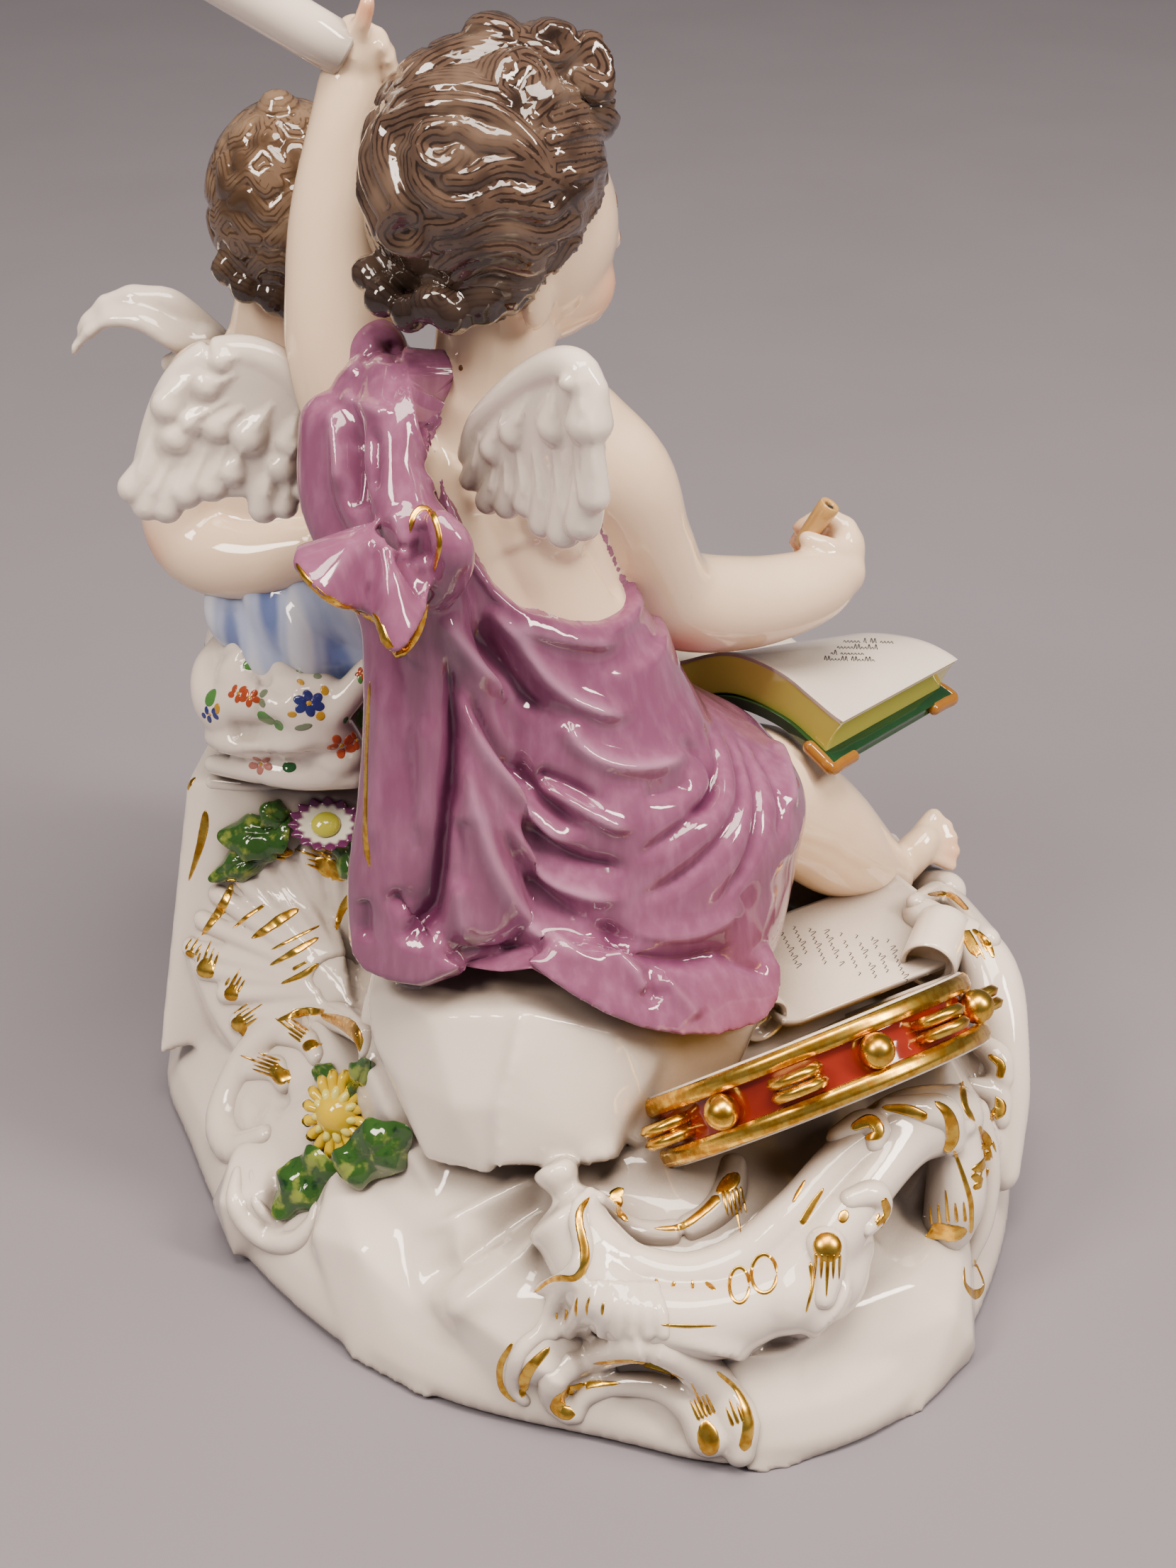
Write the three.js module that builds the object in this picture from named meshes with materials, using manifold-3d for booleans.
// Porcelain figure group: two winged putti on a rocky rocaille base, modelled as it was fired, in one piece.
// The near putto sits on a rock with an open book in the lap and lifts a rolled sheet in the left hand. The far
// putto sits on a cloth-covered mound behind. A tambourine, an unrolled sheet and two sprays of flowers lie on the
// base.
// Millimetres, +Z up. The origin is on the underside, in the middle of the group's plan. The putti look towards +Y,
// and the view of their backs is from -Y, with +X to the right.
import * as THREE from "three";
import { mergeVertices } from "three/addons/utils/BufferGeometryUtils.js";
import Module from "manifold-3d";

const wasm = await Module();
wasm.setup();

// Driving sizes.
const HEAD_R = 19; // near putto's skull, half its width
const FAR_HEAD_R = 14.5;
const PLINTH_RIM = 9; // height of the base's rolled lower edge
const TUBE_R = 4; // the rolled sheet in the raised hand
const DRUM_R = 31; // tambourine
const DRUM_DEEP = 12.5;
const BOOK_WIDE = 34; // one open half, gutter to fore-edge
const BOOK_LONG = 42;
const BOOK_THICK = 7.5; // pages and board
const FACE_TURN = 52; // degrees that the near face is turned from +X towards +Y
const FAR_FACE_TURN = 62;
const JINGLE_PIECES = 12; // pairs of discs and balls by turns round the tambourine

const SHORTEST_EDGE = 1.6;

const TAU = 2 * Math.PI;
const vec = ([x, y, z]) => new THREE.Vector3(x, y, z);
const mix = (a, b, t) => a + (b - a) * t;
const rad = THREE.MathUtils.degToRad;
const compass = (degrees) => new THREE.Vector3(Math.cos(rad(degrees)), Math.sin(rad(degrees)), 0);

// A closed geometry as a manifold solid that faces out.
function solidOf(geometry) {
  const bare = new THREE.BufferGeometry().setAttribute("position", geometry.getAttribute("position"));
  bare.setIndex(geometry.index);
  const merged = mergeVertices(bare, 1e-4);
  const faces = [];
  const index = merged.index.array;
  for (let i = 0; i < index.length; i += 3) {
    const [a, b, c] = index.slice(i, i + 3);
    if (a !== b && b !== c && a !== c) faces.push(a, b, c);
  }
  const make = (list) =>
    new wasm.Manifold(
      new wasm.Mesh({
        numProp: 3,
        vertProperties: merged.attributes.position.array,
        triVerts: new Uint32Array(list),
      }),
    );
  const made = make(faces);
  if (made.volume() > 0) return made;
  for (let i = 0; i < faces.length; i += 3) [faces[i + 1], faces[i + 2]] = [faces[i + 2], faces[i + 1]];
  return make(faces);
}

// A solid bent from a cylinder: place(t, angle, reach) gives each point, with reach 1 on the wall and 0 in a cap's
// middle.
function bent(sides, steps, place) {
  const geometry = new THREE.CylinderGeometry(1, 1, 1, sides, steps);
  const position = geometry.getAttribute("position");
  for (let i = 0; i < position.count; i++) {
    const [x, y, z] = [position.getX(i), position.getY(i), position.getZ(i)];
    const p = place(y + 0.5, Math.atan2(z, x), Math.min(1, Math.hypot(x, z)));
    position.setXYZ(i, p.x, p.y, p.z);
  }
  return solidOf(geometry);
}

// A number read along a list of evenly spaced ones, smoothly.
function along(list, t) {
  const curve = new THREE.CatmullRomCurve3(list.map((value, i) => new THREE.Vector3(i, value, 0)));
  return curve.getPoint(t).y;
}

// A round-ended limb through some points, with a radius at each. flat thins it across its wide side, which
// lies along the wide direction.
function limb(points, radii, { sides = 6, steps = 5, flat = 1, wide = [1, 0, 0] } = {}) {
  const path = new THREE.CatmullRomCurve3(points.map(vec));
  const ends = 0.06;
  return bent(sides, steps + 2, (t, angle, reach) => {
    const s = THREE.MathUtils.clamp((t - ends) / (1 - 2 * ends), 0, 1);
    const ring = Math.round(t * (steps + 2));
    const tip = ring === 0 ? -1 : ring === steps + 2 ? 1 : 0;
    const at = path.getPoint(s);
    const way = path.getTangent(s);
    const level = vec(wide).normalize();
    if (Math.abs(level.dot(way)) > 0.95) level.set(0, 0.6, 0.8);
    const across = level.addScaledVector(way, -level.dot(way)).normalize();
    const other = way.clone().cross(across);
    const r = along(radii, s) * (tip ? 0.55 : 1) * reach;
    at.addScaledVector(way, tip * along(radii, s) * 0.8);
    at.addScaledVector(across, r * Math.cos(angle));
    return at.addScaledVector(other, r * Math.sin(angle) * flat);
  });
}

// An ellipsoid. turn is in degrees about X, Y and Z.
function ball(at, radii, turn = [0, 0, 0], detail = [8, 5]) {
  const geometry = new THREE.SphereGeometry(1, ...detail);
  geometry.scale(...(Array.isArray(radii) ? radii : [radii, radii, radii]));
  geometry.applyMatrix4(new THREE.Matrix4().makeRotationFromEuler(new THREE.Euler(...turn.map(rad))));
  return solidOf(geometry.translate(...at));
}

// A ball whose surface is pushed in and out by bump(direction).
function lump(at, radii, detail, bump) {
  const geometry = new THREE.SphereGeometry(1, ...detail);
  const position = geometry.getAttribute("position");
  for (let i = 0; i < position.count; i++) {
    const p = new THREE.Vector3().fromBufferAttribute(position, i);
    p.multiplyScalar(bump(p));
    position.setXYZ(i, p.x, p.y, p.z);
  }
  return solidOf(geometry.rotateX(Math.PI / 2).scale(...radii).translate(...at));
}

// A broken stone: a coarse ball whose corners are pushed in and out, so its sides stay flat.
function stone(at, radii, seed, turn = 0) {
  const geometry = new THREE.IcosahedronGeometry(1, 1);
  const position = geometry.getAttribute("position");
  for (let i = 0; i < position.count; i++) {
    const p = new THREE.Vector3().fromBufferAttribute(position, i);
    const key = Math.sin(p.x * 12.9 + p.y * 78.2 + p.z * 37.7 + seed) * 43758.5;
    p.multiplyScalar(0.88 + 0.24 * (key - Math.floor(key)));
    position.setXYZ(i, p.x, p.y, p.z);
  }
  geometry.scale(...radii).rotateZ(rad(turn));
  return solidOf(geometry.translate(...at));
}

// The base: a mound on an irregular footprint, with a hollow foot line and a soft rolled rim.
function mound() {
  const outline = [
    [-83, 12], [-76, -9], [-60, -42], [-30, -71], [4, -83], [26, -88], [50, -79], [67, -56],
    [78, -22], [76, 14], [64, 44], [30, 64], [-14, 68], [-54, 67], [-78, 44],
  ];
  const path = new THREE.CatmullRomCurve3(
    outline.map(([x, y]) => new THREE.Vector3(x, y, 0)),
    true,
  );
  const heights = [0, PLINTH_RIM, 17, 25, 32, 36, 38];
  const shares = [1, 0.97, 0.88, 0.78, 0.66, 0.5, 0.3];
  const centre = new THREE.Vector3(-2, -6, 0);
  return bent(28, heights.length - 1, (t, angle, reach) => {
    const level = Math.round(t * (heights.length - 1));
    const p = path.getPoint((angle / TAU + 1) % 1);
    p.sub(centre).multiplyScalar(shares[level] * reach * (1 + 0.025 * Math.sin(7 * angle + level)));
    p.add(centre);
    p.z = heights[level];
    return p;
  });
}

// Broken rock on the mound: the near putto's seat, the far putto's mound and boulders round the rim.
function rocks() {
  const cliff = (centre, lean, radii, from, to, narrow) =>
    bent(10, 3, (t, angle, reach) => {
      const r = mix(1.12, narrow, t) * (1 + 0.06 * Math.sin(3 * angle + 5 * t)) * reach;
      const x = centre[0] + lean[0] * t + radii[0] * r * Math.cos(angle);
      const y = centre[1] + lean[1] * t + radii[1] * r * Math.sin(angle);
      return new THREE.Vector3(x, y, mix(from, to, t));
    });
  const boulders = [
    [[-30, -48, 18], [22, 20, 17], 1],
    [[-8, -60, 14], [24, 20, 15], 4],
    [[48, -56, 15], [24, 24, 16], 7],
    [[34, 38, 24], [36, 24, 20], 9],
    [[54, 8, 22], [21, 26, 16], 12],
    [[-22, 46, 30], [30, 19, 24], 15],
  ];
  return [
    cliff([2, -14], [-3, 4], [35, 35], 14, 62, 0.94),
    cliff([-58, 33], [0, 0], [25, 33], 6, 68, 0.72),
    ...boulders.map(([at, radii, seed]) => stone(at, radii, seed, 20 * seed)),
  ];
}

// A rocaille scroll: a tapering roll that runs along its points, and may end in a curl.
function scroll(points, thick, curl = 0) {
  const roll = limb(points, [0.45 * thick, thick, 0.9 * thick, 0.5 * thick], { sides: 6, steps: 5, flat: 0.85 });
  return curl ? [roll, ball(points.at(-1), curl, [0, 0, 0], [5, 4])] : [roll];
}

// A rocaille shell: a flattened dome with ribs that fan out from its middle.
function shell(at, radii, turn, ribs) {
  const dome = lump([0, 0, 0], radii, [2 * ribs, 5], (p) => {
    const rib = Math.cos(ribs * Math.atan2(p.y, p.x));
    return 1 + 0.09 * rib * (1 - p.z * p.z);
  });
  return dome.rotate(turn).translate(at);
}

function rocaille() {
  return [
    shell([-64, 4, 31], [15, 18, 7], [0, -52, -12], 10),
    ...scroll([[-52, -14, 26], [-64, -14, 20], [-69, -22, 10], [-60, -30, 8]], 6, 5),
    ...scroll([[-66, -24, 10], [-63, -36, 6], [-54, -44, 7], [-47, -44, 11]], 3.6),
    // The great scroll at the front comes down from the right below the tambourine, swells and turns up to the left.
    ...scroll([[60, -46, 40], [47, -62, 42], [36, -72, 30], [16, -76, 24], [2, -68, 26], [-2, -58, 34]], 9.5),
    ...scroll([[28, -56, 40], [26, -66, 36], [12, -70, 37], [4, -64, 42]], 4.2),
    ...scroll([[30, -70, 22], [40, -72, 22], [48, -72, 30]], 7, 6),
    shell([-2, -77, 17], [12, 12, 6], [62, 0, -14], 8),
    ...scroll([[-6, -86, 8], [2, -88, 17], [16, -89, 18], [25, -90, 6]], 4.6),
    ...scroll([[64, -26, 40], [65, -42, 36], [63, -52, 26], [61, -58, 15]], 6, 5.5),
    ...scroll([[62, 6, 42], [72, -6, 40], [74, -20, 28], [73, -32, 14]], 6),
    ...scroll([[70, 26, 34], [58, 44, 26], [36, 56, 22], [14, 60, 26]], 6.5, 6),
    ...scroll([[-74, 46, 34], [-60, 62, 24], [-38, 66, 20], [-18, 62, 26]], 6.5),
  ];
}

// A flower head: a button in the middle of a flat bloom with a lobe for each petal.
function flower(at, radius, tilt, petals) {
  const bloom = lump([0, 0, 0], [radius, radius, 0.35 * radius], [2 * petals, 3], (p) => {
    const lobe = Math.cos(petals * Math.atan2(p.y, p.x));
    return 1 + 0.14 * lobe;
  });
  return [
    ball(at, 0.42 * radius, [0, 0, 0], [6, 4]),
    bloom.rotate(tilt).translate(at),
  ];
}

function leaf(root, tip, width) {
  const lift = root.map((value, i) => mix(value, tip[i], 0.5) + (i === 2 ? 1.2 : 0));
  const across = vec(tip).sub(vec(root)).cross(new THREE.Vector3(0, 0.4, 1)).normalize();
  return limb([root, lift, tip], [0.35 * width, width, 0.25 * width], {
    sides: 6, steps: 3, flat: 0.3, wide: across.toArray(),
  });
}

function flowers() {
  return [
    ...flower([-45, -27, 29], 6.5, [35, -10, 0], 8),
    leaf([-44, -30, 26], [-56, -32, 18], 5.5),
    leaf([-43, -30, 25], [-32, -34, 26], 5),
    ...flower([-49, 6, 56], 6, [50, 0, 0], 6),
    leaf([-54, 6, 55], [-66, 4, 52], 6),
  ];
}

// The tambourine, leaning on the great scroll: two hoops, the red wall between them, jingles and bells.
function tambourine() {
  const middle = new THREE.Vector3(40, -38, 42);
  const normal = new THREE.Vector3(-0.33, 0.5, 0.8).normalize();
  const turn = new THREE.Quaternion().setFromUnitVectors(new THREE.Vector3(0, 1, 0), normal);
  const place = (geometry) => solidOf(geometry.applyQuaternion(turn).translate(...middle.toArray()));
  const half = DRUM_DEEP / 2;
  const profile = [
    [0, -half], [DRUM_R, -half], [DRUM_R + 0.8, -half + 1.2], [DRUM_R - 1.6, -half + 2.8],
    [DRUM_R - 1.6, half - 2.8], [DRUM_R + 0.8, half - 1.2], [DRUM_R, half], [0, half],
  ];
  const made = [place(new THREE.LatheGeometry(profile.map(([x, y]) => new THREE.Vector2(x, y)), 21))];
  for (let i = 0; i < JINGLE_PIECES; i++) {
    const angle = (TAU * (i + 0.5)) / JINGLE_PIECES;
    const at = [Math.sin(angle), Math.cos(angle)].map((value) => value * (DRUM_R - 0.4));
    const one = i % 2 ? new THREE.SphereGeometry(2.6, 5, 4) : new THREE.CylinderGeometry(4.6, 4.6, 3.4, 7);
    made.push(place(one.translate(at[0], 0, at[1])));
  }
  return made;
}

// The unrolled sheet under the foot, rolled up at its right end.
function sheetOnBase() {
  const flat = limb([[26, -14, 40], [44, -4, 41], [60, 4, 42]], [13, 15, 13], {
    sides: 8, steps: 3, flat: 0.22, wide: [-0.5, 1, 0],
  });
  const roll = limb([[62, -10, 42], [70, 4, 44], [74, 17, 44]], [5.4, 5.2, 5], { steps: 2 });
  return [flat, roll];
}

// An open book, bound on the line from the gutter along its length: each half is a block of pages and a board
// that arch away from the gutter.
function book() {
  const gutter = new THREE.Vector3(16.5, 24, 77.5);
  const length = new THREE.Vector3(0.57, 0.805, -0.168).normalize();
  const outward = new THREE.Vector3(0.845, -0.534, 0);
  return [1, -1].map((side) =>
    bent(4, 6, (t, angle, reach) => {
      // The four corners of the section stand at half the length and half the thickness from its middle.
      const long = Math.SQRT1_2 * reach * Math.cos(angle + Math.PI / 4);
      const deep = Math.SQRT1_2 * reach * Math.sin(angle + Math.PI / 4);
      const arch = 4 * Math.sin(Math.PI * Math.min(1, 1.2 * t)) - 1.5 * t;
      return gutter
        .clone()
        .addScaledVector(outward, side * BOOK_WIDE * t)
        .addScaledVector(length, BOOK_LONG * (0.5 + long))
        .add(new THREE.Vector3(0, 0, BOOK_THICK * deep + arch));
    }),
  );
}

// A wing: rows of feathers hung from an arched leading edge, the long ones below the short ones. Each row is
// one slab whose lower edge is scalloped and whose face swells on every feather.
function wing(edge, hang, grow, rows) {
  const path = new THREE.CatmullRomCurve3(edge.map(vec));
  const down = vec(hang).normalize();
  const lead = limb(edge, [4.6, 5.2, 2.6], { sides: 6, steps: 4, flat: 0.65, wide: hang });
  const slabs = rows.map(({ feathers, reach, thick }) =>
    bent(5, 2 * feathers, (t, angle, wall) => {
      const start = path.getPoint(t);
      const face = path.getTangent(t).cross(down).normalize();
      const swell = 0.5 - 0.5 * Math.cos(TAU * feathers * t);
      const long = reach * mix(...grow, t) * (0.86 + 0.14 * swell) * wall;
      start.addScaledVector(down, 0.5 * long * (1 + Math.cos(angle)));
      return start.addScaledVector(face, thick * (0.6 + 0.4 * swell) * wall * Math.sin(angle));
    }),
  );
  return rows.length > 1 ? [lead, ...slabs] : slabs;
}

// A head: skull, face, chin, nose and ears round the way it looks, and a cap of hair in rounded locks.
function head(centre, r, degrees, hairDetail) {
  const face = compass(degrees);
  const side = compass(degrees - 90);
  const at = (forward, sideways, up) => {
    const p = vec(centre).addScaledVector(face, forward * r).addScaledVector(side, sideways * r);
    return [p.x, p.y, p.z + up * r];
  };
  const ear = [0.16 * r, 0.12 * r, 0.24 * r];
  return [
    ball(at(0.12, 0, -0.05), [0.88 * r, 0.88 * r, 0.94 * r], [0, 0, degrees], [7, 5]),
    ball(at(0.38, 0, -0.38), [0.62 * r, 0.78 * r, 0.66 * r], [0, 0, degrees], [7, 5]),
    ball(at(0.98, 0, -0.34), [0.2 * r, 0.13 * r, 0.18 * r], [0, 0, degrees], [5, 4]),
    ball(at(-0.02, 0.88, -0.42), ear, [0, 0, degrees], [5, 4]),
    ball(at(-0.02, -0.88, -0.42), ear, [0, 0, degrees], [5, 4]),
    lump(at(-0.15, 0, 0.2), [r, r, 1.2 * r], hairDetail, (p) => {
      const turn = Math.atan2(p.y, p.x);
      const lock = Math.cos(7 * turn + 5 * p.z) * Math.cos(7 * p.z - 1) * (1 - p.z * p.z);
      return 0.99 + 0.09 * lock;
    }),
  ];
}

// A hand: a palm with four fingers and a thumb, each given by its tip.
function hand(palm, size, tips, thumb) {
  const thick = [0.42 * size, 0.32 * size];
  const fingers = [...tips, thumb].map((tip) => limb([palm, tip], thick, { sides: 4, steps: 1 }));
  return [ball(palm, size, [0, 0, 0], [7, 5]), ...fingers];
}

// A foot: heel to ball, with five toes fanned in front. inner is the side of the great toe, 1 or -1.
function foot(heel, degrees, size, inner, toes = 5) {
  const way = compass(degrees);
  const side = compass(degrees + 90 * inner);
  const at = (forward, sideways, up) => {
    const p = vec(heel).addScaledVector(way, forward * size).addScaledVector(side, sideways * size);
    return [p.x, p.y, p.z + up * size];
  };
  const sole = [at(0, 0, 0.3), at(0.6, 0.03, 0.22), at(1.3, 0.05, 0)];
  const made = [limb(sole, [0.5 * size, 0.48 * size, 0.44 * size], { sides: 7, steps: 3, flat: 0.75 })];
  for (let i = 0; i < toes; i++) {
    const sideways = 0.4 - 0.2 * i;
    made.push(ball(at(1.72 - 0.035 * i * i, sideways, -0.04), (0.2 - 0.022 * i) * size, [0, 0, 0], [4, 3]));
  }
  return made;
}

function nearBody() {
  const spine = [[2, -12, 72], [-6, -12, 98], [-14, -12, 118], [-17, -10, 136], [-15, -8, 151], [-14, -5, 166]];
  const torso = limb(spine, [27, 21.5, 19.5, 18, 10, 9.5], { sides: 11, steps: 7, flat: 0.86 });
  const rightReach = [
    [-2, -6, 142], [5, -5, 135], [8, -2, 123], [14, 4, 110], [27, 13, 104], [39, 20, 103], [44, 25, 104],
  ];
  const rightArm = limb(rightReach, [11.5, 10, 9, 8.6, 8.2, 7, 5.4], { sides: 7, steps: 9 });
  const leftReach = [[-36, -4, 148], [-39, -1, 159], [-39, 1, 169], [-38.5, 4, 177], [-36.8, 8, 189], [-36, 9, 194]];
  const leftArm = limb(leftReach, [12, 9, 7.4, 6.6, 5.4, 4.6], { sides: 7, steps: 7 });
  const rightTips = [[37, 29, 107], [37, 31, 109.5], [40, 32, 111], [43, 32, 111]];
  const leftTips = [[-30, 6, 202], [-29, 8, 199.5], [-29.5, 10, 197], [-30, 12, 195]];
  const rightHand = hand([43, 27, 107], 5, rightTips, [38, 24, 110]);
  const leftHand = hand([-34.5, 9.5, 198], 5, leftTips, [-36, 5, 204.5]);
  const pen = limb([[42, 27, 106], [41.7, 27, 117]], [1.8, 2.4], { sides: 7, steps: 1 });
  const tube = limb([[-37, 8, 199.6], [-69, 8, 219.4]], [TUBE_R, TUBE_R], { sides: 10, steps: 1 });
  const calf = limb([[31, 11, 66], [47, 19, 49], [57, 25.5, 38]], [12.5, 10.5, 6.5]);
  const farCalf = limb([[0, 36, 76], [3, 43, 66], [4, 43, 56], [6, 42, 43]], [10, 11, 9.5, 6.4], { sides: 7 });
  return [
    torso, rightArm, leftArm, ...rightHand, ...leftHand, pen, tube, calf, farCalf,
    ...foot([58, 26, 37], 34, 8.6, 1),
    ...foot([6, 41, 40], 75, 9, -1, 0),
    ...head([-13.5, -3, 179], HEAD_R, FACE_TURN, [16, 10]),
  ];
}

// How far a fold drawn on the cloth lifts it at a point. line is a row of [angle in degrees, height] points round
// the hips, and the fold is a rounded ridge beside it.
function foldLift(line, degrees, z) {
  let nearest = Infinity;
  for (let i = 0; i + 1 < line.length; i++) {
    const [a, b] = [line[i], line[i + 1]];
    const [ax, ay, bx, by] = [0.55 * a[0], a[1], 0.55 * b[0], b[1]];
    const [px, py] = [0.55 * degrees - ax, z - ay];
    const s = THREE.MathUtils.clamp((px * (bx - ax) + py * (by - ay)) / ((bx - ax) ** 2 + (by - ay) ** 2), 0, 1);
    nearest = Math.min(nearest, Math.hypot(px - s * (bx - ax), py - s * (by - ay)));
  }
  return Math.exp(-((nearest / 4) ** 2));
}

// The near putto's cloth: the fall from the shoulder, the knot with its flared end, and the skirt with the lap. Its
// folds sweep down from the knot and round the hips. Angles are from +X round to +Y, so the back is at 270.
function nearCloth() {
  const levels = [
    // height, centre x, centre y, half width, half depth
    [112, -5, -12, 20, 17.5],
    [103, -3, -12, 25, 21],
    [94, 1, -9, 31, 24.5],
    [86, 3, -7, 35, 27.5],
    [78, 3, -6, 37, 30],
    [70, 2, -6, 37.5, 32],
    [62, 0, -8, 37.5, 35],
    [54, 1, -9, 37, 36],
  ];
  const folds = [
    [[232, 116], [262, 106], [300, 102], [345, 104]],
    [[232, 112], [250, 96], [285, 86], [330, 90]],
    [[228, 108], [243, 84], [275, 70], [325, 78]],
    [[225, 104], [238, 74], [265, 60], [320, 64]],
    [[215, 106], [215, 80], [222, 58]],
    [[195, 106], [192, 80], [190, 58]],
  ];
  const skirt = bent(32, levels.length - 1, (t, angle, reach) => {
    const [z, x, y, wide, deep] = levels[Math.round(t * (levels.length - 1))];
    const degrees = (THREE.MathUtils.radToDeg(angle) + 360) % 360;
    const lift = 3.4 * Math.max(...folds.map((fold) => foldLift(fold, degrees, z)));
    return new THREE.Vector3(
      x + (wide + lift) * reach * Math.cos(angle),
      y + (deep + lift) * reach * Math.sin(angle),
      z,
    );
  });
  const fall = [[-32, -6, 152], [-36, -14, 138], [-32, -20, 114], [-30, -24, 90], [-32, -32, 66]];
  const sash = [[-22, -2, 156], [-27, -17, 148], [-25, -27, 134], [-20, -30, 118]];
  const bow = [[-25, -40, 143], [-30, -46, 141], [-34, -51, 138]];
  return [
    skirt,
    limb(fall, [8, 8.5, 8, 9, 7.5], { flat: 0.8 }),
    limb(sash, [9, 9, 8, 6], { steps: 4, flat: 0.7 }),
    ball([-23, -36, 141], [7.5, 8, 8.5]),
    limb(bow, [4, 7, 10], { steps: 3, flat: 0.3, wide: [0.7, -0.1, -0.7] }),
    limb([[4, -6, 80], [22, 3, 71], [31, 9, 66]], [26, 18, 13.5], { sides: 9, steps: 3 }),
    limb([[-12, 4, 80], [-8, 22, 80], [-2, 35, 78]], [24, 18.5, 14.5], { sides: 8, steps: 3 }),
  ];
}

function nearWings() {
  return [
    ...wing([[-16, -22, 148], [-6, -32, 164], [1, -42, 160]], [0.02, -0.08, -1], [0.62, 1.05], [
      { feathers: 4, reach: 18, thick: 2.6 },
      { feathers: 4, reach: 11, thick: 4.2 },
    ]),
    ...wing([[-40, -6, 146], [-56, -6, 156], [-68, -6, 148]], [-0.15, -0.1, -1], [0.8, 1.05], [
      { feathers: 5, reach: 21, thick: 2.8 },
      { feathers: 5, reach: 12, thick: 4.4 },
    ]),
  ];
}

function farPutto() {
  const spine = [[-52, 36, 78], [-54, 37, 98], [-57, 38, 118], [-57, 40, 132], [-54, 40, 150]];
  const leftArm = [[-68, 37, 131], [-72, 33, 120], [-71, 29, 108], [-61, 24, 107], [-49, 21, 110]];
  const rightArm = [[-44, 44, 134], [-37, 51, 120], [-34, 56, 108], [-38, 64, 94]];
  const feathers = [{ feathers: 4, reach: 12, thick: 2.6 }];
  const leg = (x, lean) => [[x, 40, 84], [x, 58, 84], [x + lean, 67, 76], [x + lean, 67, 62], [x + lean, 64, 47]];
  return [
    limb(spine, [20, 17, 16, 12, 7.5], { sides: 10, steps: 5, flat: 0.85 }),
    limb(leftArm, [9, 8.2, 8, 7.4, 5.6], { sides: 7 }),
    limb(rightArm, [9.5, 8, 7, 5.2], { sides: 6, steps: 3 }),
    limb(leg(-60, 0), [13, 12, 10, 8.6, 5.6], { sides: 7, steps: 5 }),
    limb(leg(-44, 9), [13, 12, 10, 8.6, 5.6], { sides: 7, steps: 5 }),
    ...foot([-59, 62, 44], 80, 8.5, -1, 0),
    ...foot([-33, 62, 41], 70, 8.5, 1, 0),
    ...head([-50, 41, 163], FAR_HEAD_R, FAR_FACE_TURN, [12, 8]),
    // The cloth round the hips, the cushion that hangs over the rock, and its two deep folds.
    ball([-51, 38, 88], [24, 24, 13], [0, 0, 20], [9, 5]),
    ball([-54, 34, 73], [20, 24, 12], [0, 0, 0], [9, 5]),
    limb([[-72, 28, 80], [-66, 17, 74], [-50, 12, 76]], [5, 4.5, 4], { sides: 6, steps: 3 }),
    limb([[-72, 34, 70], [-64, 16, 66], [-44, 8, 72]], [5, 5.5, 5], { sides: 6, steps: 3 }),
    ...wing([[-60, 45, 140], [-78, 50, 146], [-92, 50, 137]], [0.1, 0, -1], [1.1, 0.4], feathers),
    ...wing([[-46, 46, 138], [-38, 58, 146], [-30, 66, 138]], [0, 0, -1], [1, 0.5], feathers),
  ];
}

// A solid back as a three.js geometry.
function geometryOf(solid) {
  const mesh = solid.getMesh();
  return new THREE.BufferGeometry()
    .setAttribute("position", new THREE.BufferAttribute(new Float32Array(mesh.vertProperties), 3))
    .setIndex(new THREE.BufferAttribute(new Uint32Array(mesh.triVerts), 1));
}

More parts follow.
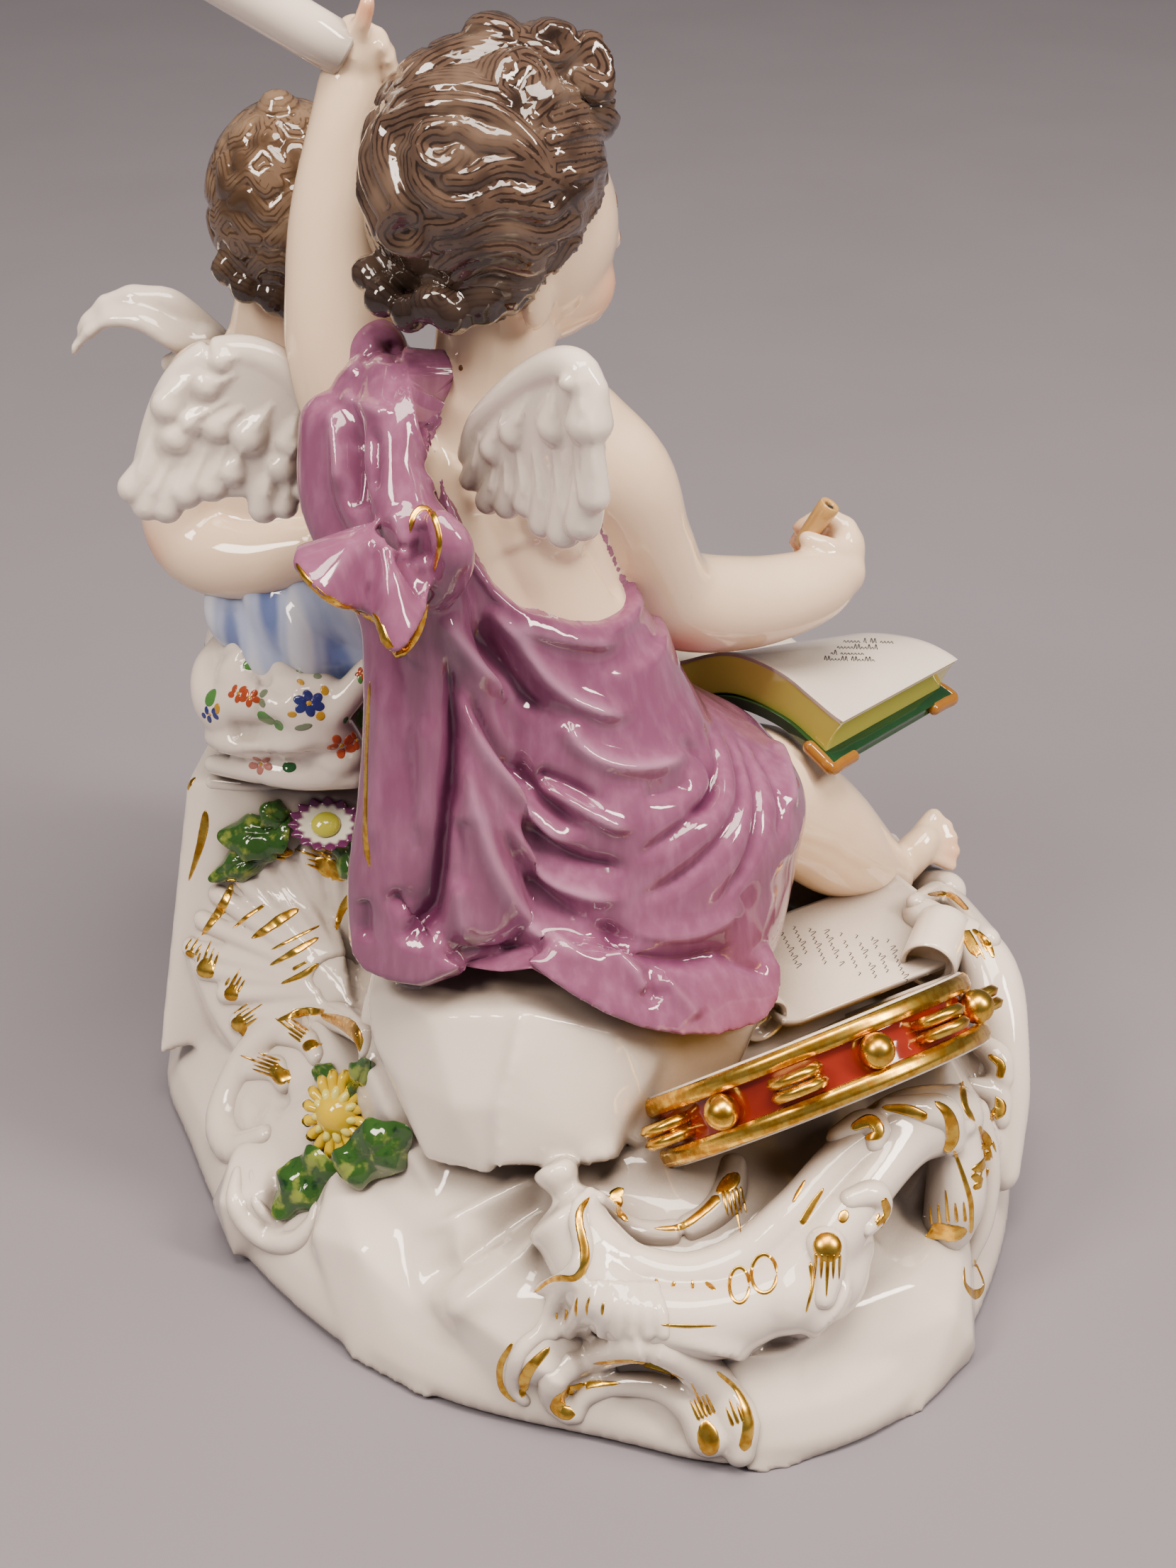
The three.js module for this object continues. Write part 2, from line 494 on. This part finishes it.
// Joins the two ends of every edge that is shorter than the given length, shortest first, so that the seams where
// bodies meet carry no slivers. An edge stays where joining it would pinch the surface or turn a face over.
function withoutShortEdges(geometry, shortest) {
  const position = geometry.getAttribute("position");
  const at = Array.from({ length: position.count }, (_, i) => new THREE.Vector3().fromBufferAttribute(position, i));
  const faces = [];
  for (let i = 0; i < geometry.index.count; i += 3) faces.push(Array.from(geometry.index.array.slice(i, i + 3)));
  const facesOf = at.map(() => new Set());
  faces.forEach((face, f) => face.forEach((v) => facesOf[v].add(f)));
  const neighbours = (v) => new Set([...facesOf[v]].flatMap((f) => faces[f]).filter((w) => w !== v));
  const normalOf = (face) => {
    const [a, b, c] = face.map((v) => at[v]);
    return b.clone().sub(a).cross(c.clone().sub(a));
  };
  const joins = (a, b) => {
    const near = neighbours(a);
    if ([...neighbours(b)].filter((v) => near.has(v)).length !== 2) return false;
    const kept = at[a].clone();
    const others = [...facesOf[b]].filter((f) => !facesOf[a].has(f));
    return others.every((f) => {
      const before = normalOf(faces[f]);
      const moved = faces[f].map((v) => (v === b ? kept : at[v]));
      const after = moved[1].clone().sub(moved[0]).cross(moved[2].clone().sub(moved[0]));
      return after.length() > 1e-3 && (before.length() < 0.02 || before.normalize().dot(after.normalize()) > 0.5);
    });
  };
  const join = (a, b) => {
    for (const f of facesOf[b]) {
      if (facesOf[a].has(f)) {
        faces[f].forEach((v) => v !== b && facesOf[v].delete(f));
        faces[f] = null;
      } else {
        faces[f] = faces[f].map((v) => (v === b ? a : v));
        facesOf[a].add(f);
      }
    }
    facesOf[b].clear();
  };
  for (let joined = true; joined; ) {
    joined = false;
    const edges = faces.filter(Boolean).flatMap(([a, b, c]) => [[a, b], [b, c], [c, a]]);
    const short = edges.map(([a, b]) => [at[a].distanceTo(at[b]), a, b]).filter(([long]) => long < shortest);
    for (const [, a, b] of short.sort((one, other) => one[0] - other[0])) {
      const edge = [...facesOf[a]].some((f) => facesOf[b].has(f));
      if (edge && joins(a, b)) {
        join(a, b);
        joined = true;
      }
    }
  }
  return new THREE.BufferGeometry()
    .setAttribute("position", position)
    .setIndex(faces.filter(Boolean).flat());
}

const pieces = {
  mound: [mound()], rocks: rocks(), rocaille: rocaille(), flowers: flowers(), tambourine: tambourine(),
  sheet: sheetOnBase(), book: book(), body: nearBody(), cloth: nearCloth(), wings: nearWings(), far: farPutto(),
};
const whole = wasm.Manifold.union(Object.values(pieces).flat());
const under = new THREE.BoxGeometry(400, 400, 100).translate(0, 0, -50);
const standing = whole.subtract(solidOf(under));

// The group is drawn round a point below the near putto's chest, and moves so that it stands centred on the origin.
const geometry = withoutShortEdges(geometryOf(standing), SHORTEST_EDGE);
geometry.computeBoundingBox();
const middle = geometry.boundingBox.getCenter(new THREE.Vector3());
geometry.translate(-middle.x, -middle.y, 0);

const porcelain = new THREE.MeshStandardMaterial({ color: 0xf1ede4, roughness: 0.12, metalness: 0 });
const group = new THREE.Group();
const mesh = new THREE.Mesh(geometry, porcelain);
mesh.name = "porcelain_group";
group.add(mesh);
export default group;
